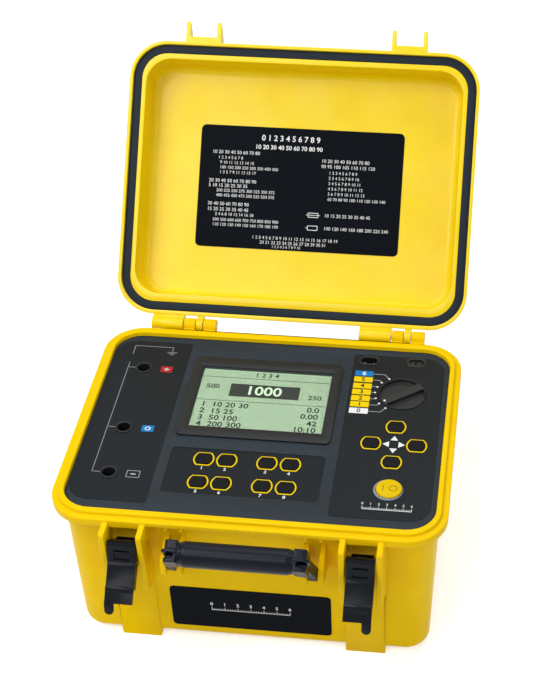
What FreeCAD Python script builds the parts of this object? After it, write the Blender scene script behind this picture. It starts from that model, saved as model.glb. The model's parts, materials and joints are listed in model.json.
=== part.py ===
import FreeCAD, Part
import os
import Sketcher

# Insulation resistance tester in a portable case: base with instrument panel, hinged lid,
# two draw latches, folding handle, push keys and a rotary selector.
# Frame: X to the right, Y to the back, Z up, millimetres; origin under the middle of the base.

V = FreeCAD.Vector
doc = FreeCAD.newDocument("insulation_tester")
sheet = doc.addObject("Spreadsheet::Sheet", "sizes")
nodes = []
rows = []


class Size:
    """A length that knows its number now and the sheet expression it comes from."""

    def __init__(self, value, text):
        self.value = value
        self.text = text

    def _join(self, other, sign, value):
        return Size(value, "(%s %s %s)" % (self.text, sign, text_of(other)))

    def __add__(self, other):
        return self._join(other, "+", self.value + value_of(other))

    def __radd__(self, other):
        return Size(other + self.value, "(%s + %s)" % (text_of(other), self.text))

    def __sub__(self, other):
        return self._join(other, "-", self.value - value_of(other))

    def __rsub__(self, other):
        return Size(other - self.value, "(%s - %s)" % (text_of(other), self.text))

    def __mul__(self, other):
        return self._join(other, "*", self.value * value_of(other))

    def __rmul__(self, other):
        return self * other

    def __truediv__(self, other):
        return self._join(other, "/", self.value / value_of(other))

    def __neg__(self):
        return Size(-self.value, "(0 - %s)" % self.text)


def value_of(x):
    return x.value if isinstance(x, Size) else float(x)


def text_of(x):
    return x.text if isinstance(x, Size) else "%.6g" % x


def size(name, value):
    row = len(rows) + 1
    rows.append(name)
    sheet.set("A%d" % row, name)
    sheet.set("B%d" % row, str(value))
    sheet.setAlias("B%d" % row, name)
    return Size(float(value), "sizes.%s" % name)


def bind(obj, prop, x):
    obj.setExpression(prop, text_of(x))


# ---------------------------------------------------------------- sketch helpers
def body(name):
    b = doc.addObject("PartDesign::Body", name)
    b.Label = name
    nodes.append(b)
    return b


def sketch(b, role, offset=0):
    s = b.newObject("Sketcher::SketchObject", b.Name + "_sketch")
    support = [f for f in b.Origin.OriginFeatures if f.Role == role][0]
    s.AttachmentSupport = [(support, "")]
    s.MapMode = "FlatFace"
    s.AttachmentOffset = FreeCAD.Placement(V(0, 0, value_of(offset)), FreeCAD.Rotation())
    if isinstance(offset, Size):
        bind(s, "AttachmentOffset.Base.z", offset)
    return s


def fix(s, geometry, point, x, y):
    for kind, coordinate in (("DistanceX", x), ("DistanceY", y)):
        k = s.addConstraint(Sketcher.Constraint(kind, geometry, point, value_of(coordinate)))
        if isinstance(coordinate, Size):
            s.setExpression("Constraints[%d]" % k, coordinate.text)


def radius(s, geometry, r):
    k = s.addConstraint(Sketcher.Constraint("Radius", geometry, value_of(r)))
    if isinstance(r, Size):
        s.setExpression("Constraints[%d]" % k, r.text)


def polygon(s, points):
    first = s.GeometryCount
    n = len(points)
    flat = [V(value_of(x), value_of(y), 0) for x, y in points]
    for i in range(n):
        s.addGeometry(Part.LineSegment(flat[i], flat[(i + 1) % n]))
    for i in range(n):
        s.addConstraint(Sketcher.Constraint("Coincident", first + i, 2, first + (i + 1) % n, 1))
    for i in range(n):
        fix(s, first + i, 1, *points[i])


def circle(s, x, y, r):
    g = s.addGeometry(Part.Circle(V(value_of(x), value_of(y), 0), V(0, 0, 1), value_of(r)))
    fix(s, g, 3, x, y)
    radius(s, g, r)


def rounded(s, x0, x1, y0, y1, r_left, r_right=None):
    """Rectangle with rounded corners, one radius for the left pair and one for the right pair."""
    if r_right is None:
        r_right = r_left
    ends = [
        (x0 + r_left, y0, x1 - r_right, y0, r_right, (0.7071, -0.7071), (x1 - r_right, y0 + r_right)),
        (x1, y0 + r_right, x1, y1 - r_right, r_right, (0.7071, 0.7071), (x1 - r_right, y1 - r_right)),
        (x1 - r_right, y1, x0 + r_left, y1, r_left, (-0.7071, 0.7071), (x0 + r_left, y1 - r_left)),
        (x0, y1 - r_left, x0, y0 + r_left, r_left, (-0.7071, -0.7071), (x0 + r_left, y0 + r_left)),
    ]
    first = s.GeometryCount
    for ax, ay, bx, by, _, _, _ in ends:
        a = V(value_of(ax), value_of(ay), 0)
        s.addGeometry(Part.LineSegment(a, V(value_of(bx), value_of(by), 0)))
    for i in range(4):
        _, _, bx, by, r, way, centre = ends[i]
        nx, ny = ends[(i + 1) % 4][:2]
        middle = V(value_of(centre[0]) + value_of(r) * way[0],
                   value_of(centre[1]) + value_of(r) * way[1], 0)
        arc = Part.Arc(V(value_of(bx), value_of(by), 0), middle, V(value_of(nx), value_of(ny), 0))
        g = s.addGeometry(arc)
        s.addConstraint(Sketcher.Constraint("Coincident", g, 1, first + i, 2))
        s.addConstraint(Sketcher.Constraint("Coincident", g, 2, first + (i + 1) % 4, 1))
        radius(s, g, r)
    for i in range(4):
        fix(s, first + i, 1, ends[i][0], ends[i][1])
        fix(s, first + i, 2, ends[i][2], ends[i][3])


def keyshape(s, x, y, half_flat, half_high, bulge):
    """Key outline: straight top and bottom, arced ends."""
    first = s.GeometryCount
    corners = [(x - half_flat, y - half_high), (x + half_flat, y - half_high),
               (x + half_flat, y + half_high), (x - half_flat, y + half_high)]
    flat = [V(value_of(a), value_of(b), 0) for a, b in corners]
    right = V(value_of(x + half_flat + bulge), value_of(y), 0)
    left = V(value_of(x - half_flat - bulge), value_of(y), 0)
    s.addGeometry(Part.LineSegment(flat[0], flat[1]))
    s.addGeometry(Part.Arc(flat[1], right, flat[2]))
    s.addGeometry(Part.LineSegment(flat[2], flat[3]))
    s.addGeometry(Part.Arc(flat[3], left, flat[0]))
    for i in range(4):
        s.addConstraint(Sketcher.Constraint("Coincident", first + i, 2, first + (i + 1) % 4, 1))
    fix(s, first, 1, *corners[0])
    fix(s, first, 2, *corners[1])
    fix(s, first + 2, 1, *corners[2])
    fix(s, first + 2, 2, *corners[3])
    r = (half_high * half_high + bulge * bulge) / (2 * bulge)
    radius(s, first + 1, r)
    radius(s, first + 3, r)


def pad(b, s, length, kind="Pad", reverse=False):
    f = b.newObject("PartDesign::" + kind, b.Name + "_" + kind.lower())
    f.Profile = s
    f.Length = value_of(length)
    if isinstance(length, Size):
        bind(f, "Length", length)
    f.Reversed = reverse
    f.Refine = False
    return f


def raise_z(b, z0, z1, draw, *args):
    s = sketch(b, "XY_Plane", z0)
    draw(s, *args)
    return pad(b, s, z1 - z0)


def sink_z(b, z0, z1, draw, *args):
    s = sketch(b, "XY_Plane", z1)
    draw(s, *args)
    return pad(b, s, z1 - z0, "Pocket")


def raise_x(b, x0, x1, draw, *args):
    s = sketch(b, "YZ_Plane", x0)
    draw(s, *args)
    return pad(b, s, x1 - x0)


def sink_x(b, x0, x1, draw, *args):
    s = sketch(b, "YZ_Plane", x1)
    draw(s, *args)
    return pad(b, s, x1 - x0, "Pocket")


def prism(pile, axis, low, high, draw, *args):
    """A loose extruded outline between two levels on the X or Z axis, kept in a list to be joined or cut."""
    s = doc.addObject("Sketcher::SketchObject", "outline")
    if axis == "x":
        s.Placement = FreeCAD.Placement(V(value_of(low), 0, 0), FreeCAD.Rotation(V(1, 1, 1), 120))
    else:
        s.Placement = FreeCAD.Placement(V(0, 0, value_of(low)), FreeCAD.Rotation())
    if isinstance(low, Size):
        bind(s, "Placement.Base." + axis, low)
    draw(s, *args)
    e = doc.addObject("Part::Extrusion", "prism")
    e.Base = s
    e.DirMode = "Normal"
    e.Solid = True
    e.LengthFwd = value_of(high - low)
    if isinstance(high - low, Size):
        bind(e, "LengthFwd", high - low)
    pile.append(e)


def drafted(b, kind, s, length, run, reverse):
    """Pad or pocket whose outline shrinks by run on every side along its length."""
    f = pad(b, s, length, kind, reverse)
    f.TaperAngle = -1.0
    f.setExpression("TaperAngle", "0 deg - atan(%s / %s)" % (run.text, length.text))
    return f


def round_edges(b, feature, z, r):
    """Fillet every edge of the last feature lying in the level z."""
    doc.recompute()
    names = []
    for i, e in enumerate(feature.Shape.Edges):
        box = e.BoundBox
        if abs(box.ZMin - value_of(z)) < 0.01 and abs(box.ZMax - value_of(z)) < 0.01:
            names.append("Edge%d" % (i + 1))
    f = b.newObject("PartDesign::Fillet", b.Name + "_fillet")
    f.Base = (feature, names)
    f.Radius = value_of(r)
    bind(f, "Radius", r)
    return f


# ---------------------------------------------------------------- primitive helpers
def place(obj, x, y, z):
    for prop, c in (("x", x), ("y", y), ("z", z)):
        if isinstance(c, Size):
            bind(obj, "Placement.Base." + prop, c)


def box(name, x0, x1, y0, y1, z0, z1):
    o = doc.addObject("Part::Box", name)
    o.Placement.Base = V(value_of(x0), value_of(y0), value_of(z0))
    for prop, span in (("Length", x1 - x0), ("Width", y1 - y0), ("Height", z1 - z0)):
        setattr(o, prop, value_of(span))
        if isinstance(span, Size):
            bind(o, prop, span)
    place(o, x0, y0, z0)
    return o


def rod(name, axis, x, y, z, r, length):
    o = doc.addObject("Part::Cylinder", name)
    turn = {"x": FreeCAD.Rotation(V(0, 1, 0), 90), "z": FreeCAD.Rotation()}[axis]
    o.Placement = FreeCAD.Placement(V(value_of(x), value_of(y), value_of(z)), turn)
    o.Radius = value_of(r)
    o.Height = value_of(length)
    if isinstance(r, Size):
        bind(o, "Radius", r)
    if isinstance(length, Size):
        bind(o, "Height", length)
    place(o, x, y, z)
    return o


def node(obj, name):
    obj.Label = name
    nodes.append(obj)
    return obj


def fused(name, parts):
    o = doc.addObject("Part::MultiFuse", name)
    o.Shapes = parts
    return o


def together(name, parts):
    o = doc.addObject("Part::Compound", name)
    o.Links = parts
    return o


def cut(name, base, tools):
    o = doc.addObject("Part::Cut", name)
    o.Base = base
    o.Tool = tools[0] if len(tools) == 1 else fused(name + "_tool", tools)
    return o


# ---------------------------------------------------------------- sizes
case_width = size("case_width", 340)
case_depth = size("case_depth", 265)
hw = case_width / 2
hd = case_depth / 2
rim_corner = size("rim_corner_radius", 36)
ledge = size("ledge_height", 157.4)
flange_thick = size("flange_thickness", 4.4)
lip_drop = size("rim_lip_drop", 3.6)
lip_thick = size("rim_lip_thickness", 2.4)
side_inset = size("wall_inset_side", 9.1)
front_inset = size("wall_inset_front", 12.3)
draft_run = size("wall_draft_run", 3.5)
wall = size("wall_thickness", 3)
shell_bottom = size("shell_bottom_height", 3)
bottom_round = size("bottom_edge_radius", 10)
body_corner = size("body_corner_radius", 25)
tongue_inset = size("tongue_inset", 5.8)
tongue_height = size("tongue_height", 3.35)
rebate_x = size("panel_recess_inset_side", 10.4)
rebate_y = size("panel_recess_inset_front", 11.9)
panel_top = ledge - size("panel_below_ledge", 0.8)
panel_thick = size("panel_thickness", 3)
column_inner = size("column_inner_edge", 84)
column_outer = size("column_outer_edge", 119.6)
column_proud = size("column_proud", 1.9)
foot_bar = size("foot_bar_width", 18)

fin_inner = size("latch_fin_inner_face", 87.2)
fin_outer = size("latch_fin_outer_face", 114)
fin_thick = size("latch_fin_thickness", 5)
fin_reach = size("latch_fin_reach", 16.6)
fin_drop = ledge - size("latch_fin_length", 70.2)
fin_gap = size("latch_fin_below_ledge", 1.9)
ear_inner = size("handle_ear_inner_face", 55.5)
ear_outer = size("handle_ear_outer_face", 64.5)
ear_thick = size("handle_ear_thickness", 5)
gusset_thick = size("gusset_thickness", 3)
gusset_deep = size("gusset_depth", 7)
small_round = size("small_corner_radius", 1)

hinge_x = size("hinge_offset", 101)
hinge_back = size("hinge_behind_rim", 8.6)
hinge_r = size("hinge_barrel_radius", 6.3)
hinge_pin_r = size("hinge_pin_radius", 2)
run_gap = size("running_clearance", 0.06)
hinge_half = size("hinge_half_length", 31.5)
open_angle = size("lid_open_angle", 129.2)

lid_gap = size("lid_rim_gap", 0.3)
lid_height = size("lid_height", 42.3)
lid_top_wall = size("lid_top_thickness", 3.4)
lid_run = size("lid_draft_run", 1.6)
lid_flange = size("lid_flange_height", 8)
seal_depth = size("seal_surface_depth", 3.65)
seal_out = size("seal_outer_inset", 2.96)
seal_in = size("seal_inner_inset", 11.42)
seal_thick = size("seal_thickness", 2.4)
tray_inset_x = size("lid_tray_inset_side", 15.4)
tray_front = size("lid_tray_inset_front", 16.4)
tray_back = size("lid_tray_inset_back", 20)
tray_taper = size("lid_tray_taper", 1.2)
tray_round = size("lid_tray_floor_radius", 8)
prong_inner = size("lid_prong_inner_face", 87)
prong_outer = size("lid_prong_outer_face", 113.2)
prong_thick = size("lid_prong_thickness", 4)
prong_reach = size("lid_prong_reach", 19.5)
web_reach = size("lid_web_reach", 5.2)
web_thick = size("lid_web_thickness", 3)

latch_x = size("latch_centre", 100.6)
latch_half = size("latch_half_width", 12)
latch_pin_y = hd - size("latch_pin_inside_rim", 5)
latch_pin_z = ledge - size("latch_pin_below_ledge", 28.4)
joint_y = hd + size("latch_joint_beyond_rim", 13.5)
joint_z = ledge - size("latch_joint_below_ledge", 34.1)
latch_pin_r = size("latch_pin_radius", 2)
joint_pin_r = size("latch_joint_pin_radius", 1.4)
eye_big = size("latch_link_eye_large", 3.8)
eye_small = size("latch_link_eye_small", 3)
part_gap = size("moving_part_gap", 0.35)
lever_wall = size("latch_lever_wall", 2.2)
tail_r = size("latch_tail_radius", 4)

pivot_y = hd + size("handle_pivot_beyond_rim", 6.5)
pivot_z = ledge - size("handle_pivot_below_ledge", 40.4)
handle_pin_r = size("handle_pin_radius", 2.5)
handle_lean = size("handle_lean", 31)
grip_up = size("handle_grip_distance", 43.3)
grip_half = size("handle_grip_half_length", 49)
grip_r = size("handle_grip_radius", 11)
grip_end = size("handle_grip_taper_length", 6)
grip_run = size("handle_grip_taper_run", 2)

overlay_thick = size("overlay_thickness", 0.3)
screw_x = hw - size("panel_screw_from_side", 24)
screw_y = hd - size("panel_screw_from_front", 32.5)
screw_r = size("panel_screw_radius", 2)
head_r = size("panel_screw_head_radius", 3.8)
post_r = size("panel_post_radius", 5.5)
terminal_x = hw - size("terminal_from_side", 43.5)
terminal_top_y = size("terminal_top_y", 71.4)
terminal_mid_y = size("terminal_middle_y", 13.7)
terminal_low_y = size("terminal_lower_y", 73.2)
terminal_bore = size("terminal_bore_radius", 5.85)
terminal_lip = size("terminal_lip_radius", 7.6)
terminal_body = size("terminal_body_radius", 7)
terminal_depth = size("terminal_body_depth", 36)
contact_r = size("terminal_contact_radius", 4.5)
contact_high = size("terminal_contact_height", 4)
lcd_x0 = size("screen_left", 70.5)
lcd_x1 = size("screen_right", 51.5)
lcd_y0 = size("screen_bottom", 6.4)
lcd_y1 = size("screen_top", 79)
bezel_side = size("bezel_side_width", 8.5)
bezel_low = size("bezel_bottom_width", 12.5)
bezel_high = size("bezel_top_width", 13.4)
bezel_proud = size("bezel_height", 1.6)
key_flat = size("key_half_flat", 4.9)
key_high = size("key_half_height", 6.6)
key_bulge = size("key_end_bulge", 2.6)
key_proud = size("key_height", 1.3)
key_skirt = size("key_skirt_height", 1.2)
key_post = size("key_post_radius", 2.2)
key_travel = size("key_travel", 0.9)
start_x = hw - size("start_button_from_side", 52.6)
start_y = size("start_button_y", 70.7)
start_r = size("start_button_radius", 11.2)
ring_r = size("start_ring_radius", 12.9)
ring_shift = size("start_ring_shift", 0.7)
knob_x = hw - size("selector_from_side", 52.1)
knob_y = size("selector_y", 57)
knob_r = size("selector_radius", 21.9)
knob_bar = size("selector_grip_half_width", 4.4)
knob_rim = size("selector_rim_width", 1)
knob_scoop = size("selector_scoop_depth", 4.5)
knob_deep = size("selector_depth", 11)
knob_angle = size("selector_rest_angle", 217.5)
shaft_r = size("selector_shaft_radius", 3)
well_deep = size("selector_well_depth", 9.4)
inlet_x = size("inlet_x", 83.2)
inlet_y = hd - size("inlet_from_back", 29.6)
inlet_half = size("inlet_half_width", 8.6)
inlet_high = size("inlet_half_height", 5.3)
inlet_wall = size("inlet_wall", 0.9)
inlet_pin = size("inlet_pin_offset", 4.6)
port_x = hw - size("optical_port_from_side", 42.5)
port_y = hd - size("optical_port_from_back", 28.1)
port_half = size("optical_port_half_width", 8.5)
port_high = size("optical_port_half_height", 5.8)
port_rim = size("optical_port_rim", 1.1)

wall_y = hd - front_inset
hinge_y = hd + hinge_back
hinge_z = ledge - 0.1
panel_seat = panel_top - panel_thick
doc.recompute()


def wall_at(z):
    """Outer face of the front wall at height z, as a distance from the middle."""
    return wall_y - draft_run * ((ledge - z) / (ledge - shell_bottom))


def inset(s, dx, dy, r):
    rounded(s, -hw + dx, hw - dx, -hd + dy, hd - dy, r)


# ---------------------------------------------------------------- base case
base = body("base_shell")
nodes.remove(base)
s = sketch(base, "XY_Plane", ledge)
inset(s, side_inset, front_inset, body_corner)
shell = drafted(base, "Pad", s, ledge - shell_bottom, draft_run, True)
round_edges(base, shell, shell_bottom, bottom_round)
raise_z(base, ledge - flange_thick, ledge, inset, 0, 0, rim_corner)
s = sketch(base, "XY_Plane", panel_seat)
inset(s, side_inset + wall, front_inset + wall, body_corner - wall)
hollow = drafted(base, "Pocket", s, panel_seat - shell_bottom - wall, draft_run, False)
round_edges(base, hollow, shell_bottom + wall, bottom_round - wall)
s = sketch(base, "XY_Plane", ledge - flange_thick - lip_drop)
inset(s, 0, 0, rim_corner)
inset(s, lip_thick, lip_thick, rim_corner - lip_thick)
pad(base, s, lip_drop + 0.5)
sink_z(base, ledge - flange_thick - lip_drop - 1, ledge - flange_thick, rounded,
       -fin_inner + fin_thick, fin_inner - fin_thick, -hd - 1.5, -hd + lip_thick + 0.5, small_round)
s = sketch(base, "XY_Plane", ledge - 0.5)
inset(s, tongue_inset, tongue_inset, rim_corner - tongue_inset)
pad(base, s, tongue_height + 0.5)
sink_z(base, panel_seat, ledge + tongue_height + 1, inset, rebate_x, rebate_y, rim_corner - rebate_x)
more = [base]
less = []
for side in (-1, 1):
    x0 = column_inner if side > 0 else -column_outer
    x1 = column_outer if side > 0 else -column_inner
    for back in (-1, 1):
        prism(more, "x", x0, x1, polygon, [
            (back * (wall_at(shell_bottom) + column_proud), 0),
            (back * (wall_y + column_proud), ledge - flange_thick + 0.2),
            (back * (wall_y - wall / 2), ledge - flange_thick + 0.2),
            (back * (wall_at(shell_bottom) - wall / 2), shell_bottom + bottom_round + 1),
            (back * (wall_at(shell_bottom) - 4.4), shell_bottom + 4.5),
            (back * (wall_at(shell_bottom) - 12), shell_bottom + wall / 2),
            (back * (wall_at(shell_bottom) - 12), 0)])
    prism(more, "z", 0, shell_bottom + wall / 2, rounded, x0, x1,
            -wall_at(shell_bottom) + 11, wall_at(shell_bottom) - 11, small_round)
    for face in (fin_inner - fin_thick, fin_outer):
        a = face if side > 0 else -face - fin_thick
        prism(more, "x", a, a + fin_thick, polygon, [
            (-wall_y + 1.2, ledge - flange_thick - 1),
            (-wall_y - 0.8, ledge - flange_thick),
            (-wall_y - 0.8, ledge - fin_gap),
            (-hd - fin_reach + 1.5, ledge - fin_gap),
            (-hd - fin_reach, ledge - fin_gap - 1.8),
            (-hd - fin_reach + 5.6, fin_drop + 1.8),
            (-hd - fin_reach + 7.6, fin_drop),
            (-wall_at(fin_drop) + 1.2, fin_drop - 10)])
    for face in (ear_inner - ear_thick, ear_outer):
        a = face if side > 0 else -face - ear_thick
        prism(more, "x", a, a + ear_thick, polygon, [
            (-wall_at(pivot_z + 18) + 1.2, pivot_z + 18.6),
            (-wall_at(pivot_z + 18) - 1, pivot_z + 18.2),
            (-pivot_y - 6, pivot_z + 10.2),
            (-pivot_y - 7.3, pivot_z + 8.6),
            (-pivot_y - 8.6, pivot_z - 3.4),
            (-pivot_y - 7.2, pivot_z - 5.2),
            (-wall_at(pivot_z - 12) + 1.2, pivot_z - 12)])
    for middle in (9, 52.7, 66):
        prism(more, "x", side * middle - gusset_thick / 2, side * middle + gusset_thick / 2, polygon, [
            (-wall_y + 1, ledge - flange_thick + 0.3),
            (-hd + 2, ledge - flange_thick + 0.3),
            (-hd + 2, ledge - flange_thick - gusset_deep + 1.8),
            (-hd + 2.6, ledge - flange_thick - gusset_deep + 0.6),
            (-hd + 3.8, ledge - flange_thick - gusset_deep),
            (-wall_y + 1, ledge - flange_thick - gusset_deep - 1)])
    for a, b in ((0, 11.3), (18.9, 31.5)):
        x0 = side * hinge_x + a * (hinge_half / 31.5)
        x1 = side * hinge_x + b * (hinge_half / 31.5)
        prism(more, "x", x0, x1, polygon, [
            (hd - 1, ledge - 0.6), (hd - 1, ledge - flange_thick - lip_drop),
            (hd + 4, ledge - flange_thick - lip_drop), (hinge_y + 2.4, hinge_z - hinge_r + 1),
            (hinge_y, hinge_z), (hinge_y - 5.2, hinge_z - 0.5)])
        prism(more, "x", x0, x1, circle, hinge_y, hinge_z, hinge_r)
    prism(less, "x", side * hinge_x - hinge_half, side * hinge_x + hinge_half, circle,
           hinge_y, hinge_z, hinge_pin_r)
    edge = fin_inner - fin_thick - 1 if side > 0 else -fin_outer - fin_thick - 1
    prism(less, "x", edge, edge + (fin_outer - fin_inner + fin_thick * 2 + 2), circle,
           -latch_pin_y, latch_pin_z, latch_pin_r)
    edge = ear_inner - ear_thick - 1 if side > 0 else -ear_outer - ear_thick - 1
    prism(less, "x", edge, edge + (ear_outer - ear_inner + ear_thick * 2 + 2), circle,
           -pivot_y, pivot_z, handle_pin_r)
    for back in (-1, 1):
        prism(more, "z", shell_bottom + wall - 0.5, panel_seat, circle, side * screw_x, back * screw_y, post_r)
        prism(less, "z", panel_seat - 14, panel_seat, circle, side * screw_x, back * screw_y,
               screw_r + run_gap)
prism(more, "z", 0, shell_bottom + wall / 2, rounded, -column_inner - 1, column_inner + 1,
        -foot_bar / 2, foot_bar / 2, small_round)
node(cut("base_case", fused("base_solid", more), less), "base_case")

# ---------------------------------------------------------------- lid, drawn closed about the hinge axis
lid_z = ledge + lid_gap - hinge_z
lid_front = -hinge_y - hd
lid_back = -hinge_y + hd


def lid_ring(s, dx, front, back, r):
    rounded(s, -hw + dx, hw - dx, lid_front + front, lid_back - back, r)


def open_out(b):
    b.Placement = FreeCAD.Placement(V(0, value_of(hinge_y), value_of(hinge_z)),
                                    FreeCAD.Rotation(V(1, 0, 0), -value_of(open_angle)))
    bind(b, "Placement.Base.y", hinge_y)
    bind(b, "Placement.Base.z", hinge_z)
    bind(b, "Placement.Rotation.Angle", -open_angle)


lid = body("lid")
s = sketch(lid, "XY_Plane", lid_z + seal_depth)
lid_ring(s, side_inset, front_inset, front_inset, rim_corner - 1)
shell = drafted(lid, "Pad", s, lid_height - seal_depth, lid_run, False)
round_edges(lid, shell, lid_z + lid_height, bottom_round)
raise_z(lid, lid_z, lid_z + lid_flange, lid_ring, 0, 0, 0, rim_corner)
for side in (-1, 1):
    for face in (prong_inner - prong_thick, prong_outer):
        a = face if side > 0 else -face - prong_thick
        raise_x(lid, a, a + prong_thick, polygon, [
            (lid_front + front_inset + 1.5, lid_z), (lid_front + front_inset + 1.5, lid_z + 26),
            (lid_front + 8, lid_z + 23), (lid_front, lid_z + 20.6),
            (lid_front - prong_reach / 2.4, lid_z + 15.6), (lid_front - prong_reach / 1.4, lid_z + 9.4),
            (lid_front - prong_reach / 1.12, lid_z + 4.4), (lid_front - prong_reach, lid_z)])
    x0 = prong_inner - 1 if side > 0 else -prong_outer - 1
    raise_z(lid, lid_z, lid_z + web_thick, rounded, x0, x0 + (prong_outer - prong_inner + 2),
            lid_front - web_reach, lid_front + 1, small_round)
sink_z(lid, lid_z - 1, lid_z + seal_depth, lid_ring, seal_out, seal_out, seal_out,
       rim_corner - seal_out)
s = sketch(lid, "XY_Plane", lid_z + seal_depth)
lid_ring(s, tray_inset_x, tray_front, tray_back, rim_corner - tray_inset_x + 4)
hollow = drafted(lid, "Pocket", s, lid_height - lid_top_wall - seal_depth, tray_taper, True)
round_edges(lid, hollow, lid_z + lid_height - lid_top_wall, tray_round)
s = sketch(lid, "XY_Plane", lid_z + seal_depth + seal_thick)
lid_ring(s, seal_out, seal_out, seal_out + 0.9, rim_corner - seal_out)
lid_ring(s, seal_in, seal_in, seal_in + 0.9, rim_corner - seal_in)
pad(lid, s, seal_thick + 0.5, "Pocket")
for side in (-1, 1):
    for a, b in ((-31.5, -1.0), (12, 18.2)):
        x0 = side * hinge_x + a * (hinge_half / 31.5)
        x1 = side * hinge_x + b * (hinge_half / 31.5)
        raise_x(lid, x0, x1, polygon, [
            (lid_back - 1, lid_z + 0.3), (lid_back - 1, lid_z + lid_flange),
            (lid_back + 3.5, lid_z + lid_flange - 0.4), (2.4, hinge_r - 1), (0, 0), (-5.2, 0.75)])
        raise_x(lid, x0, x1, circle, 0, 0, hinge_r)
    sink_x(lid, side * hinge_x - hinge_half - 1, side * hinge_x + hinge_half, circle,
           0, 0, hinge_pin_r + run_gap)
open_out(lid)

gasket = body("lid_gasket")
s = sketch(gasket, "XY_Plane", lid_z + seal_depth)
lid_ring(s, seal_out + 0.05, seal_out + 0.05, seal_out + 0.95, rim_corner - seal_out - 0.05)
lid_ring(s, seal_in - 0.05, seal_in - 0.05, seal_in + 0.85, rim_corner - seal_in + 0.05)
pad(gasket, s, seal_thick)
open_out(gasket)

lid_label = body("lid_label")
label_w = size("lid_label_width", 202.4)
label_d = size("lid_label_depth", 120.9)
label_thick = size("label_thickness", 0.4)
label_mid = (lid_front + lid_back) / 2 + 0.9
raise_z(lid_label, lid_z + lid_height - lid_top_wall - label_thick, lid_z + lid_height - lid_top_wall,
        rounded, -label_w / 2 - 2.4, label_w / 2 - 2.4, label_mid - label_d / 2, label_mid + label_d / 2, 5)
open_out(lid_label)

for side, word in ((-1, "left"), (1, "right")):
    node(rod("hinge_pin_" + word, "x", side * hinge_x - hinge_half + 0.4, hinge_y, hinge_z,
             hinge_pin_r, hinge_half * 2 - 0.4), "hinge_pin_" + word)

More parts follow.
